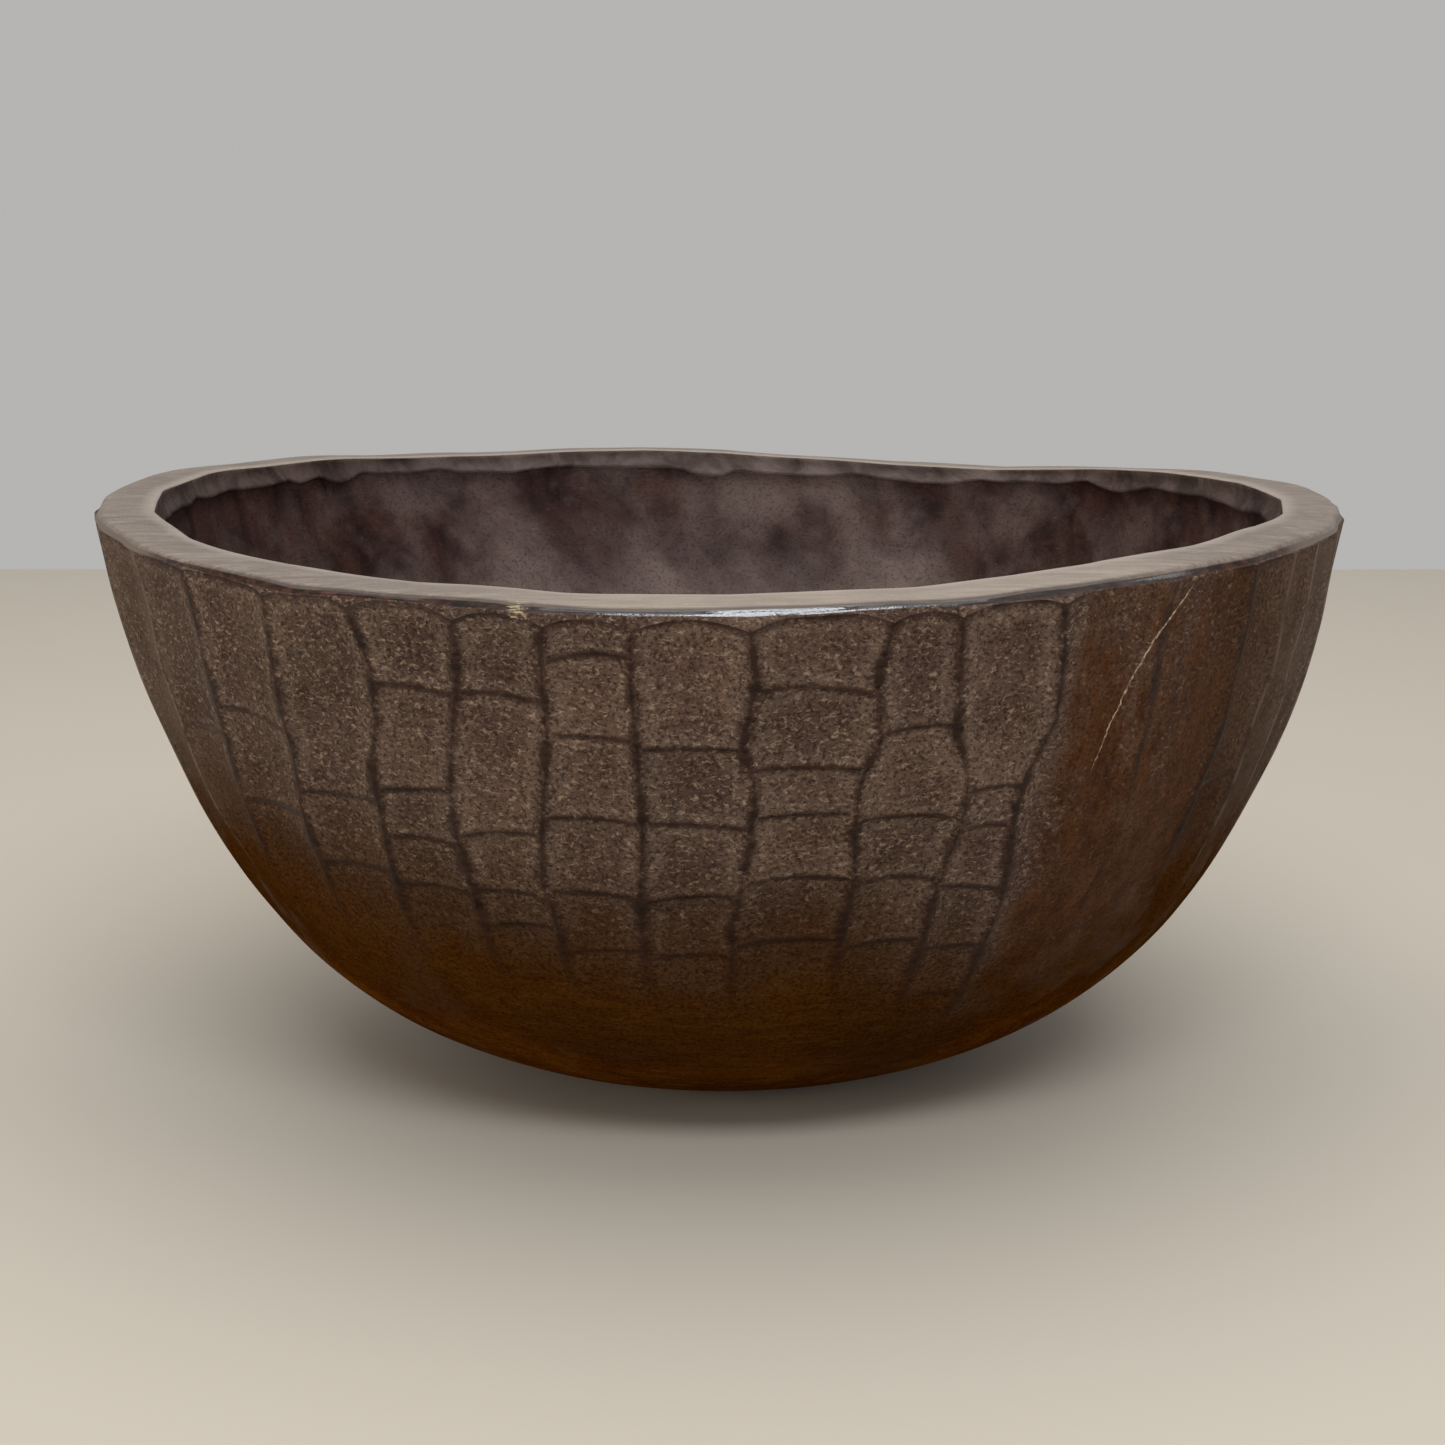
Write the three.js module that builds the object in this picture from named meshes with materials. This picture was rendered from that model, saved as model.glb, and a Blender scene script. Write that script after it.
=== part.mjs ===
// A wide bowl carved from one block of hardwood. Upright adze flutes run down its outside, its flat rim has a
// worn bevel, a tooled band lies under the rim's inner edge, and it stands on a flat base.
// Millimetres, +Z up. The origin is the middle of the base, and the front of the bowl faces -Y.
import * as THREE from 'three';

// Driving dimensions.
const RIM_DIAMETER = 450;
const RIM_HEIGHT = 200; // at the front, the lowest part of the rim
const RIM_RISE = 7; // how much higher the rim stands at the two sides
const RIM_TILT = 1.5; // how much of that the left side has more, and the right side less
const RIM_WIDTH = 21;
const BEVEL_WIDTH = 4;
const BEVEL_HEIGHT = 8.4;
const ARRIS = 1.2; // softening of the rim's two top edges
const BAND_WIDTH = 4.5; // the tooled band leans inwards by this much
const BAND_HEIGHT = 13;
const BAND_SCALLOP = 3; // how far the band's lower edge rises between two tool marks
const WALL_THICKNESS = 23;
const FLOOR_THICKNESS = 24;
const BASE_DIAMETER = 110;
const ADZE_RADIUS = 100; // sweep of the adze's cutting edge, which hollows every flute
const FLUTE_RUN_OUT = 45; // below this height the flutes have faded away
const FLUTE_FULL = 95; // above this height they have their full depth

// Each ridge between two flutes, as its angle in degrees: 0 is the front, 90 the right side.
const RIDGES = [
  -173, -163, -152, -142, -131, -121, -111, -101, -91, -81, -70.5, -59.5, -49.5,
  -39.5, -30.5, -22, -14.5, -7, 1.5, 12, 19, 27, 38, 49, 56.5, 62.5, 70.5, 79.5,
  89, 98, 109, 118, 128, 139, 148, 158, 168, 178,
];

// How finely the solid is divided.
const STEPS_PER_FLUTE = 3;
const OUTSIDE_STEPS = 13;
const INSIDE_STEPS = 9;
const FLOOR_STEPS = 2;

const smoothstep = THREE.MathUtils.smoothstep;
const rimRadius = RIM_DIAMETER / 2;
const baseRadius = BASE_DIAMETER / 2;
const footHeight = RIM_HEIGHT - BEVEL_HEIGHT;

// The outside of the wall, from the edge of the base up to the foot of the bevel. The two handles set its
// belly: almost flat where it leaves the base, and leaning out by 11 degrees where it meets the rim.
function outsideCurve() {
  const leaveBase = THREE.MathUtils.degToRad(10.4);
  const meetRim = THREE.MathUtils.degToRad(11);
  const start = new THREE.Vector2(baseRadius, 0);
  const end = new THREE.Vector2(rimRadius, footHeight);
  const low = new THREE.Vector2(Math.cos(leaveBase), Math.sin(leaveBase));
  const high = new THREE.Vector2(Math.sin(meetRim), Math.cos(meetRim));
  low.multiplyScalar(0.218 * rimRadius).add(start);
  high.multiplyScalar(-0.845 * footHeight).add(end);
  return new THREE.CubicBezierCurve(start, low, high, end);
}

// The inside of the wall follows the outside at the wall's thickness, which grows towards the floor.
function insidePoints(curve) {
  const points = [];
  const highest = RIM_HEIGHT - BAND_HEIGHT;
  for (let i = 0; i <= INSIDE_STEPS; i += 1) {
    const along = 1 - i / INSIDE_STEPS;
    const outer = curve.getPointAt(along);
    const tangent = curve.getTangentAt(along);
    const inward = new THREE.Vector2(-tangent.y, tangent.x);
    const thickness = THREE.MathUtils.lerp(FLOOR_THICKNESS, WALL_THICKNESS, along);
    points.push(outer.addScaledVector(inward, thickness));
  }
  // The top of the wall is drawn straight to the foot of the tooled band.
  points[0].set(rimRadius - RIM_WIDTH - BAND_WIDTH, highest);
  return points;
}

// The whole outline, from the middle of the base round to the middle of the floor.
const curve = outsideCurve();
const outside = curve.getSpacedPoints(OUTSIDE_STEPS);
const bevelTop = rimRadius - BEVEL_WIDTH;
const rimInner = rimRadius - RIM_WIDTH;
const rim = [
  new THREE.Vector2(bevelTop, RIM_HEIGHT - ARRIS),
  new THREE.Vector2(bevelTop - ARRIS, RIM_HEIGHT),
  new THREE.Vector2(rimInner + ARRIS, RIM_HEIGHT),
  new THREE.Vector2(rimInner, RIM_HEIGHT - ARRIS),
];
const inside = insidePoints(curve);
const floorEdge = inside.at(-1);
const floor = [];
for (let i = 1; i <= FLOOR_STEPS; i += 1) {
  floor.push(new THREE.Vector2(floorEdge.x * (1 - i / FLOOR_STEPS), floorEdge.y));
}
const outline = [new THREE.Vector2(0, 0), ...outside, ...rim, ...inside, ...floor];
const bevelFootRow = OUTSIDE_STEPS + 1;
const bandFootRow = bevelFootRow + rim.length + 1;

// The rim's rise above its lowest part, at an angle round the bowl.
function rimLift(angle) {
  return RIM_RISE * Math.sin(angle) ** 2 - RIM_TILT * Math.sin(angle);
}

// How deep the adze has cut, part of the way across a flute: nothing at the ridges, most in the middle.
// The cut turns the bowl's own round wall into a hollow of the adze's sweep.
function scoopDepth(across, fluteWidth) {
  const hollow = 1 / ADZE_RADIUS + 1 / rimRadius;
  return 0.5 * across * (1 - across) * fluteWidth ** 2 * hollow;
}

// One vertex of the lathe, moved to its place on the carved bowl.
function carve(station, row) {
  const flute = Math.floor(station / STEPS_PER_FLUTE) % RIDGES.length;
  const across = (station % STEPS_PER_FLUTE) / STEPS_PER_FLUTE;
  const here = RIDGES[flute];
  const next = flute + 1 < RIDGES.length ? RIDGES[flute + 1] : RIDGES[0] + 360;
  const span = THREE.MathUtils.degToRad(next - here);
  const angle = THREE.MathUtils.degToRad(here) + across * span;

  let radius = outline[row].x;
  let height = outline[row].y;
  const scoop = scoopDepth(across, span * rimRadius);
  if (row <= bevelFootRow) {
    radius -= scoop * smoothstep(height, FLUTE_RUN_OUT, FLUTE_FULL);
  }
  if (row === bevelFootRow) {
    height += scoop * BEVEL_HEIGHT / BEVEL_WIDTH;
  }
  if (row === bandFootRow) {
    height += BAND_SCALLOP * Math.abs(2 * across - 1);
  }
  height += rimLift(angle) * smoothstep(height, FLOOR_THICKNESS * 2, RIM_HEIGHT);
  return new THREE.Vector3(radius * Math.sin(angle), -radius * Math.cos(angle), height);
}

function bowlGeometry() {
  const stations = RIDGES.length * STEPS_PER_FLUTE;
  const geometry = new THREE.LatheGeometry(outline, stations);
  const position = geometry.getAttribute('position');
  for (let i = 0; i < position.count; i += 1) {
    const station = Math.floor(i / outline.length) % stations;
    const point = carve(station, i % outline.length);
    position.setXYZ(i, point.x, point.y, point.z);
  }
  // The uneven ridges leave the bowl a little off centre, so it is set back over the origin.
  geometry.computeBoundingBox();
  const centre = geometry.boundingBox.getCenter(new THREE.Vector3());
  geometry.translate(-centre.x, -centre.y, 0);
  geometry.computeVertexNormals();
  return geometry;
}

const wood = new THREE.MeshStandardMaterial({
  name: 'dark_hardwood',
  color: new THREE.Color(0.2, 0.13, 0.1),
  roughness: 0.55,
  metalness: 0,
});

const bowl = new THREE.Mesh(bowlGeometry(), wood);
bowl.name = 'bowl';

const object = new THREE.Group();
object.add(bowl);
export default object;
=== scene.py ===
# %% [markdown]
# # A bowl carved from one block of dark hardwood
#
# This lesson carves a wide wooden bowl the way its maker did: a round blank first, then the adze work
# outside, the levelled rim with its worn bevel, the tooled band inside the mouth, and the hollow. The whole
# bowl is one piece of wood, so it is one mesh, and the carving is what gives it its detail.

# %% Load the measured bowl
import math

import bmesh
import bpy
import numpy as np
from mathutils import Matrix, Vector
from mathutils.kdtree import KDTree


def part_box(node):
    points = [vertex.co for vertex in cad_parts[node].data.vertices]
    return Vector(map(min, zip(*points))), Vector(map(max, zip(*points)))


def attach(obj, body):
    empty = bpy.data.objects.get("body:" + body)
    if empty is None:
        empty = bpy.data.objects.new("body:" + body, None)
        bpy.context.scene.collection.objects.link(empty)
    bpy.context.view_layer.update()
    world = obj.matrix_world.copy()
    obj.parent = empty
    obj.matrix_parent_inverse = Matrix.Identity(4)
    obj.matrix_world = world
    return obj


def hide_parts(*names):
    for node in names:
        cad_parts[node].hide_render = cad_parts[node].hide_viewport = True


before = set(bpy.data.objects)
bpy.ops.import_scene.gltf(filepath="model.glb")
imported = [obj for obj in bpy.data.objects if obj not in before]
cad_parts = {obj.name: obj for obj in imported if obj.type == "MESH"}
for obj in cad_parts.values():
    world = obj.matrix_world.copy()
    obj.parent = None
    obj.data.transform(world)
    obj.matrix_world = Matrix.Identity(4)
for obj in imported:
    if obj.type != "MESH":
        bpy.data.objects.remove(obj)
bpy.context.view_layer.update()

MM = 0.001
bowl_low, bowl_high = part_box("bowl")
print("the bowl measures", [round(side / MM, 1) for side in bowl_high - bowl_low], "mm")

# %% [markdown]
# ## The sizes
#
# The overall width and height come from the measured bowl. The rest are a carver's own sizes, in millimetres:
# how wide the rim is, how far the bevel falls, how thick the wall is left. Angles are in degrees round the
# bowl, with 0 at the front and 90 on the right.

# %% The bowl's sizes
RIM_RADIUS = (bowl_high.x - bowl_low.x) / 2 / MM
RIM_RISE = 7.0        # the rim stands higher at the two sides
RIM_TILT = 1.5        # and a little more so on the left
RIM_HEIGHT = bowl_high.z / MM - RIM_RISE - RIM_TILT
RIM_WIDTH = 21.0
BEVEL_WIDTH = 4.0
BEVEL_HEIGHT = 8.4
BAND_WIDTH = 4.5
BAND_HEIGHT = 13.0
WALL_THICKNESS = 23.0
FLOOR_THICKNESS = 24.0
BASE_RADIUS = 55.0
ADZE_RADIUS = 100.0   # sweep of the cutting edge that hollows every flute


def span(values, digits=1):
    """The smallest and the largest of some values, ready to print."""
    return f"{np.min(values):.{digits}f} to {np.max(values):.{digits}f}"


print("the rim at the front is", round(RIM_HEIGHT, 1), "mm high")

# %% [markdown]
# ## The outline
#
# A turned or carved bowl is described by half of its section: from the middle of the base, out and up the
# wall, over the rim, and down the hollow to the middle of the floor. One smooth Bezier curve makes the belly
# of the wall, because a hand-carved wall has no straight run in it. The hollow follows the wall at the
# thickness that the carver leaves.


# %% The wall's curve
def bezier(start, low, high, end, share):
    """Points on a cubic Bezier curve, at the given shares of the way along it."""
    share = share[:, None]
    rest = 1 - share
    return rest**3 * start + 3 * rest**2 * share * low + 3 * rest * share**2 * high + share**3 * end


def evenly(points, count):
    """The same line, with its points an even distance apart."""
    steps = np.hypot(*np.diff(points, axis=0).T)
    run = np.concatenate([[0], np.cumsum(steps)])
    places = np.linspace(0, run[-1], count)
    return np.stack([np.interp(places, run, points[:, 0]), np.interp(places, run, points[:, 1])], axis=1)


LEAVE_BASE = math.radians(10.4)
MEET_RIM = math.radians(11)
bevel_foot = RIM_HEIGHT - BEVEL_HEIGHT
base_edge = np.array([BASE_RADIUS, 0.0])
wall_top = np.array([RIM_RADIUS, bevel_foot])
low_handle = base_edge + 0.218 * RIM_RADIUS * np.array([math.cos(LEAVE_BASE), math.sin(LEAVE_BASE)])
high_handle = wall_top - 0.845 * bevel_foot * np.array([math.sin(MEET_RIM), math.cos(MEET_RIM)])
fine_wall = bezier(base_edge, low_handle, high_handle, wall_top, np.linspace(0, 1, 800))

WALL_ROWS = 112
wall_line = evenly(fine_wall, WALL_ROWS)
wall_slope = np.gradient(wall_line, axis=0)
wall_slope /= np.hypot(*wall_slope.T)[:, None]
print("the wall is", round(np.hypot(*np.diff(wall_line, axis=0).T).sum()), "mm from base to bevel")

# %% The hollow's curve
HOLLOW_ROWS = 46
FLOOR_ROWS = 5
thickness = np.linspace(FLOOR_THICKNESS, WALL_THICKNESS, WALL_ROWS)[:, None]
inner_edge_highlight = wall_line + np.stack([-wall_slope[:, 1], wall_slope[:, 0]], axis=1) * thickness
hollow_top = np.array([RIM_RADIUS - RIM_WIDTH - BAND_WIDTH, RIM_HEIGHT - BAND_HEIGHT])
inner_edge_highlight = inner_edge_highlight[inner_edge_highlight[:, 1] < hollow_top[1] - 6]
hollow_line = evenly(np.vstack([hollow_top, inner_edge_highlight[::-1]]), HOLLOW_ROWS)
floor_edge = hollow_line[-1]
floor_line = np.linspace(floor_edge, [0, floor_edge[1]], FLOOR_ROWS + 1)[1:]
print("the floor is", round(floor_edge[1], 1), "mm thick and", round(2 * floor_edge[0]), "mm across")

# %% [markdown]
# ## The blank
#
# The outline is spun round the upright axis to make the blank. Before it is spun, every point of the outline
# is given its row number, and the spin copies that number to each point that it makes. Later steps can then
# say "the bevel" or "the wall" without guessing from coordinates.

# %% Rows of the outline
BASE_ROWS = 3
BEVEL_ROWS = 5
RIM_ROWS = 9
BAND_ROWS = 7
row_groups = {}
rows_so_far = 0
for group, size in (
    ("base", BASE_ROWS),
    ("wall", WALL_ROWS),
    ("bevel", BEVEL_ROWS),
    ("rim", RIM_ROWS),
    ("band", BAND_ROWS),
    ("hollow", HOLLOW_ROWS),
    ("floor", FLOOR_ROWS),
):
    row_groups[group] = slice(rows_so_far, rows_so_far + size)
    rows_so_far += size
ROWS = rows_so_far
print("the outline has", ROWS, "rows")

# %% Ridges round the bowl
RIDGES = np.array([
    -173, -163, -152, -142, -131, -121, -111, -101, -91, -81, -70.5, -59.5, -49.5,
    -39.5, -30.5, -22, -14.5, -7, 1.5, 12, 19, 27, 38, 49, 56.5, 62.5, 70.5, 79.5,
    89, 98, 109, 118, 128, 139, 148, 158, 168, 178,
])
FLUTES = len(RIDGES)
STEPS_PER_FLUTE = 13
STATIONS = FLUTES * STEPS_PER_FLUTE
stations = np.arange(STATIONS)
flute = stations // STEPS_PER_FLUTE
share = (stations % STEPS_PER_FLUTE) / STEPS_PER_FLUTE
across = 0.6 * share + 0.4 * (1 - np.cos(np.pi * share)) / 2
print(FLUTES, "flutes,", STATIONS, "stations round the bowl")


# %% Spin the blank
def spin_blank():
    """A closed round blank whose vertices carry their row number."""
    bm = bmesh.new()
    row_tag = bm.verts.layers.int.new("row")
    outline = np.zeros((ROWS, 2))
    rim_outer = np.array([RIM_RADIUS - BEVEL_WIDTH, RIM_HEIGHT])
    rim_inner = np.array([RIM_RADIUS - RIM_WIDTH, RIM_HEIGHT])
    outline[row_groups["base"], 0] = np.linspace(0, BASE_RADIUS, BASE_ROWS, endpoint=False)
    outline[row_groups["wall"]] = wall_line
    outline[row_groups["bevel"]] = np.linspace(wall_top, rim_outer, BEVEL_ROWS + 2)[1:-1]
    outline[row_groups["rim"]] = np.linspace(rim_outer, rim_inner, RIM_ROWS)
    outline[row_groups["band"]] = np.linspace(rim_inner, hollow_top, BAND_ROWS + 2)[1:-1]
    outline[row_groups["hollow"]] = hollow_line
    outline[row_groups["floor"]] = floor_line
    corners = []
    for row, (radius, height) in enumerate(outline):
        corner = bm.verts.new((0, -radius * MM, height * MM))
        corner[row_tag] = row
        corners.append(corner)
    edges = [bm.edges.new(pair) for pair in zip(corners, corners[1:])]
    bmesh.ops.spin(
        bm, geom=corners + edges, cent=(0, 0, 0), axis=(0, 0, 1), angle=2 * math.pi,
        steps=STATIONS, use_merge=True, use_duplicate=False,
    )
    bmesh.ops.remove_doubles(bm, verts=bm.verts[:], dist=0.01 * MM)
    bmesh.ops.recalc_face_normals(bm, faces=bm.faces[:])
    return bm, row_tag


blank, row_tag = spin_blank()
print("the blank has", len(blank.verts), "vertices and", len(blank.faces), "faces")

# %% [markdown]
# ## Where the ridges run
#
# The adze cuts side by side, and each pair of cuts leaves a ridge between them. By hand, no ridge is quite
# upright: it sways by a degree or so wherever the next stroke starts a little to one side. The front ridges
# are placed one by one, and a seeded random draw sways the others by as much.

# %% Ridge sway
draw = np.random.default_rng(38)
SWAY_HEIGHTS = np.array([96, 112, 128, 143, 158, 176, 195])
SWAY_SIZE = 0.5         # degrees
SIDE_SWAY = 0.4         # the share of it that the ridges at the two sides have
sway = draw.normal(0, SWAY_SIZE, (FLUTES, len(SWAY_HEIGHTS)))
sway[abs(abs(RIDGES) - 90) < 25] *= SIDE_SWAY
FIRST_PLACED_RIDGE = 11
placed_sway = np.array([
    # degrees to the right, at 195, 176, 158, 143, 128, 112 and 96 mm up
    [0.0, 1.5, 0.0, 0.0, -0.5, 0.0, 2.0],
    [-0.2, 0.4, 0.5, 0.2, -1.0, -1.5, -2.2],
    [0.7, 0.5, -0.2, -0.2, -1.1, -2.0, -2.4],
    [0.0, 1.6, 1.2, -0.2, -0.5, -1.1, -1.7],
    [1.0, 0.8, -0.3, -1.2, -1.7, -1.5, -1.6],
    [0.8, 0.3, 0.3, -0.3, -1.1, -1.8, -1.4],
    [0.0, -0.2, 0.0, 0.1, 0.2, -0.4, -0.7],
    [0.2, 0.8, -0.2, 0.9, 0.6, -0.1, -0.9],
    [0.9, -0.3, 0.3, -1.1, -1.2, -0.6, -1.0],
    [-1.0, -0.8, -0.4, 1.2, 1.3, 0.4, 0.3],
    [-0.2, 0.3, 0.6, -1.2, -1.7, -0.9, -0.5],
])
sway[FIRST_PLACED_RIDGE:FIRST_PLACED_RIDGE + len(placed_sway)] = placed_sway[:, ::-1]


def ridge_angle(number, height):
    """The angle of a ridge at some heights, in degrees."""
    turn = 360.0 * (number // FLUTES)
    number = number % FLUTES
    return RIDGES[number] + turn + np.interp(height, SWAY_HEIGHTS, sway[number])


print("the ridges sway by up to", round(float(abs(sway).max()), 1), "degrees")

# %% [markdown]
# ## Where the strokes stop
#
# The carver works down a flute in short strokes. Each stroke lifts its chip and ends in a small stop, so a
# flute is a stack of shallow cells. The stops of neighbouring flutes roughly line up, because the carver goes
# round the bowl in rings. The front stops are placed, the others are drawn.

# %% Stops in each flute
placed_stops = {
    # flute: the heights of its stops
    8: [], 9: [], 10: [], 11: [141], 12: [152, 121], 13: [131, 106], 14: [170, 137, 120, 103],
    15: [170, 125, 104, 92], 16: [182, 159, 132, 106, 85], 17: [156, 131, 106, 84],
    18: [173, 149, 134, 112, 89], 19: [160, 131, 110, 87], 20: [139, 126, 105, 83, 64], 21: [], 22: [],
}
RING_HEIGHTS = np.array([170, 153, 131, 106, 85])
SIDE_FLUTES = set(range(8, 12)) | set(range(23, 28))
SIDE_CHANCE = 0.35      # how likely a stop is in a flute at the side
OTHER_CHANCE = 0.85     # and in any other flute
stops = []
for number in range(FLUTES):
    rings = RING_HEIGHTS + draw.normal(0, 4.0, len(RING_HEIGHTS))
    chance = SIDE_CHANCE if number in SIDE_FLUTES else OTHER_CHANCE
    keep = draw.random(len(RING_HEIGHTS)) < chance
    drawn = sorted(rings[keep], reverse=True)
    stops.append(placed_stops.get(number, drawn))
print(sum(len(s) for s in stops), "stops")

# %% Each stroke's own character
MOST_STOPS = 6
stop_tilt = draw.normal(0, 2.0, (FLUTES, MOST_STOPS))
stop_bow = draw.uniform(-0.4, 1.1, (FLUTES, MOST_STOPS))
stroke_depth = draw.uniform(0.45, 0.95, (FLUTES, MOST_STOPS + 1))
cell_offset = draw.normal(0, 0.22, (FLUTES, MOST_STOPS + 1))
cell_tone = draw.uniform(-1, 1, (FLUTES, MOST_STOPS + 1))
print("the strokes bite", span(stroke_depth, 2), "mm deep")

# %% [markdown]
# ## Where the adze work ends
#
# Further down the carver smoothed the bowl, so the cells end on a wavering line and the ridges fade out. In
# two places, hands have rubbed the tool work almost away. Both are small tables by the angle round the bowl.
# Later steps read them with a soft change from one value to the next, so that nothing ends in a hard edge.

# %% Where the cells end
CELLS_END = np.array([
    # angle, height
    (-180, 84), (-150, 92), (-120, 78), (-90, 98), (-55, 110), (-43, 97), (-30, 92), (-17, 82), (-2, 80),
    (10, 85), (19, 73), (28, 62), (33, 88), (38, 98), (50, 103), (65, 100), (90, 90), (120, 76),
    (150, 95), (180, 84),
])
DUSTINESS = np.array([
    # angle, how much dust lies in the cells there: least beside the rubbed patch on the right
    (-180, 1), (40, 1), (46, 0.3), (59, 0.4), (67, 0.85), (75, 1), (180, 1),
])
WORN_PATCHES = [
    # left edge, right edge, how much of the tool work is rubbed away
    (27, 48, 0.75),
    (150, 171, 0.5),
]


def by_angle(table, where):
    """The value that a table gives at some angles."""
    return np.interp(where, table[:, 0], table[:, 1])


def smoothly(value, low, high):
    """0 below low, 1 above high, and an S-shaped curve between them."""
    part = np.clip((value - low) / (high - low), 0, 1)
    return part * part * (3 - 2 * part)


def worn_at(angle, height):
    """How far the surface is rubbed smooth, 0 to 1."""
    total = np.zeros(np.broadcast(angle, height).shape)
    less_near_rim = 1 - 0.3 * smoothly(height, 150, 192)
    for left, right, most in WORN_PATCHES:
        sides = smoothly(angle, left - 1, left + 4) * (1 - smoothly(angle, right - 6, right + 7))
        total = np.maximum(total, most * sides * less_near_rim)
    return total * smoothly(height, 36, 100)


print("the cells end between", CELLS_END[:, 1].min(), "and", CELLS_END[:, 1].max(), "mm up")

# %% [markdown]
# ## Carve the outside
#
# The bowl is kept as grids of numbers while it is carved, with one line for each station round the bowl and
# one place in it for each row of the outline. A scoop is a shallow arc between two ridges, deepest in the
# middle. Inside each cell the cut is deepest at its top and runs out at its foot, so the next cell starts
# with a little step. The rows nearest a stop are slid onto it, so the step is crisp.

# %% Grid of the bowl
radius = np.zeros((STATIONS, ROWS))
height = np.zeros((STATIONS, ROWS))
angle = np.zeros((STATIONS, ROWS))
FAR = 30.0
MARKS_AT_START = {
    # how far it is to the nearest ridge, stop, seam between scoops, scratch and chip
    "ridge": FAR, "stop": FAR, "seam": FAR, "scratch": FAR, "chip": FAR,
    # the share of the way up the scratch, how full of dust a cell is, and its own shade
    "scratch_run": -1.0, "full": 1.0, "tone": 0.0,
    # where each finish, painted light and painted shade belong, from 0 to 1
    "dust_and_painted_light": 0.0, "worn": 0.0, "bevel": 0.0, "rim": 0.0, "band": 0.0, "inside": 0.0, "side": 0.0, "painted_shade": 0.0,
    "outer_line": 0.0, "inner_edge_highlight": 0.0, "gleam": 0.0,
}
marks = {name: np.full((STATIONS, ROWS), start) for name, start in MARKS_AT_START.items()}


def lumps(points, size, seed, waves=10):
    """A smooth random swell through space, mostly between -1 and 1, with bumps of the given size."""
    own = np.random.default_rng(seed)
    total = np.zeros(points.shape[:-1])
    for _ in range(waves):
        direction = own.normal(size=3)
        direction /= np.linalg.norm(direction)
        pace = 2 * math.pi / (size * own.uniform(0.7, 1.5))
        total += np.sin(points @ direction * pace + own.uniform(0, 2 * math.pi))
    return total / math.sqrt(waves)


# %% Slide the rows onto the stops
LEDGE_ABOVE = 0.2
LEDGE_BELOW = 0.6
wall = row_groups["wall"]
wall_heights = np.tile(wall_line[:, 1], (STATIONS, 1))
station_stops = []
for station in range(STATIONS):
    number = flute[station]
    u = across[station]
    own_stops = []
    for i, stop in enumerate(stops[number]):
        place = stop + stop_tilt[number, i] * (u - 0.5) + stop_bow[number, i] * (4 * u * (1 - u) - 0.6)
        own_stops.append(place)
        if u > 0:
            nearest = int(np.argmin(abs(wall_heights[station] - place)))
            wall_heights[station, nearest] = place + LEDGE_ABOVE
            wall_heights[station, nearest - 1] = place - LEDGE_BELOW
    station_stops.append(own_stops)
print("rows moved onto the stops")

# %% Scoop the flutes
hollowness = 1 / ADZE_RADIUS + 1 / RIM_RADIUS
wall_radius = np.interp(wall_heights, wall_line[:, 1], wall_line[:, 0])
wall_out = np.interp(wall_heights, wall_line[:, 1], wall_slope[:, 1])
wall_up = np.interp(wall_heights, wall_line[:, 1], wall_slope[:, 0])
left_ridge = np.stack([ridge_angle(flute[s], wall_heights[s]) for s in stations])
right_ridge = np.stack([ridge_angle(flute[s] + 1, wall_heights[s]) for s in stations])
wall_angle = left_ridge + (right_ridge - left_ridge) * across[:, None]
facing = (wall_angle + 180) % 360 - 180
flute_width = np.radians(right_ridge - left_ridge) * wall_radius
u = across[:, None]
print("the flutes are", span(flute_width[:, -1]), "mm wide at the top")

# %% How deep the flutes are
RIDGE_WEAR = 0.03       # rubs the sharp crest of each ridge round
FLUTE_FADE = (-42, 6)   # where the flutes fade in, measured up from where the cells end
cells_end = by_angle(CELLS_END, facing)


def above_cells(fade):
    """0 below a fade and 1 above it, measured up from where the cells end."""
    return smoothly(wall_heights, cells_end + fade[0], cells_end + fade[1])


worn = worn_at(facing, wall_heights)
strength = above_cells(FLUTE_FADE) * (1 - worn)
dish = np.hypot(u * (1 - u), RIDGE_WEAR) - RIDGE_WEAR
scoop = 0.5 * dish * flute_width**2 * hollowness * strength
print("flutes are up to", round(float(scoop.max()), 2), "mm deep")

# %% Cut the cells
FOOT_LINE = 1.0         # height of the dark line along the bevel's foot
STOP_FADE = (-14, 2)
LOWEST_FOOT = 40.0      # the last cell of a flute runs down to here
stroke = np.zeros_like(scoop)
from_stop = np.full_like(scoop, FAR)
tone = np.zeros_like(scoop)
for station in range(STATIONS):
    number = flute[station]
    up = wall_heights[station]
    edges = [RIM_HEIGHT + 2, *station_stops[station], LOWEST_FOOT]
    for i, (top, foot) in enumerate(zip(edges, edges[1:])):
        here = (up <= top) & (up > foot)
        down = (top - up[here]) / max(top - foot, 1)
        bite = stroke_depth[number, i] * (1 - down) ** 1.2
        belly = 0.35 * 4 * down * (1 - down)
        stroke[station, here] = bite + belly + cell_offset[number, i]
        tone[station, here] = cell_tone[number, i]
    if across[station] > 0:
        for place in station_stops[station]:
            from_stop[station] = np.minimum(from_stop[station], abs(up - place))
    below_bevel = np.maximum(bevel_foot - up - FOOT_LINE, 0)
    from_stop[station] = np.minimum(from_stop[station], below_bevel)
stops_show = above_cells(STOP_FADE) * (1 - np.clip(worn * 1.4, 0, 1))
stroke *= np.sqrt(np.clip(4 * u * (1 - u), 0, 1)) * stops_show
print("the strokes cut up to", round(float(stroke.max()), 2), "mm deeper")

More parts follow.
